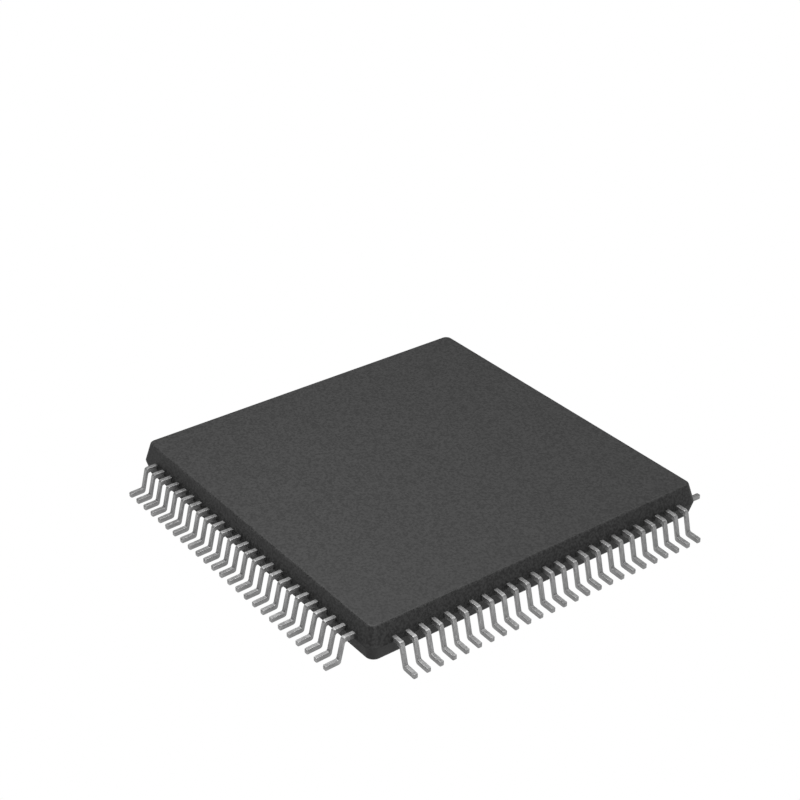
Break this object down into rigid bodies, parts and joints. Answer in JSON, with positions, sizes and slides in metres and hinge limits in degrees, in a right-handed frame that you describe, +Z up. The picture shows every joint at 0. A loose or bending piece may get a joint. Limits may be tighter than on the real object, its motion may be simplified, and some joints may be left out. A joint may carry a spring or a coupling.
{
  "type": "quad flat pack chip",
  "caption": "Flat square surface-mount chip: black moulded body with drafted sides and a row of gull-wing leads along each side.",
  "frame": {"origin": "centre of the body's outline on the seating plane that the undersides of all feet share", "axes": "+Z up through the top of the body, +X and +Y square to two of the four rows of leads"},
  "size_m": [0.016, 0.016, 0.0015],
  "materials": {
    "mould_compound": "fine grained matt black epoxy",
    "tinned_leads": "satin tin plating",
    "copper_alloy": "bare copper alloy sheet",
    "silver_epoxy": "cured silver-filled epoxy",
    "silicon": "polished silicon"
  },
  "bodies": {
    "root": {"mould_body": "mould_compound", "leads_right": "tinned_leads", "leads_back": "tinned_leads", "leads_left": "tinned_leads", "leads_front": "tinned_leads", "die_paddle": "copper_alloy", "die_attach": "silver_epoxy", "die": "silicon"}
  },
  "joints": []
}
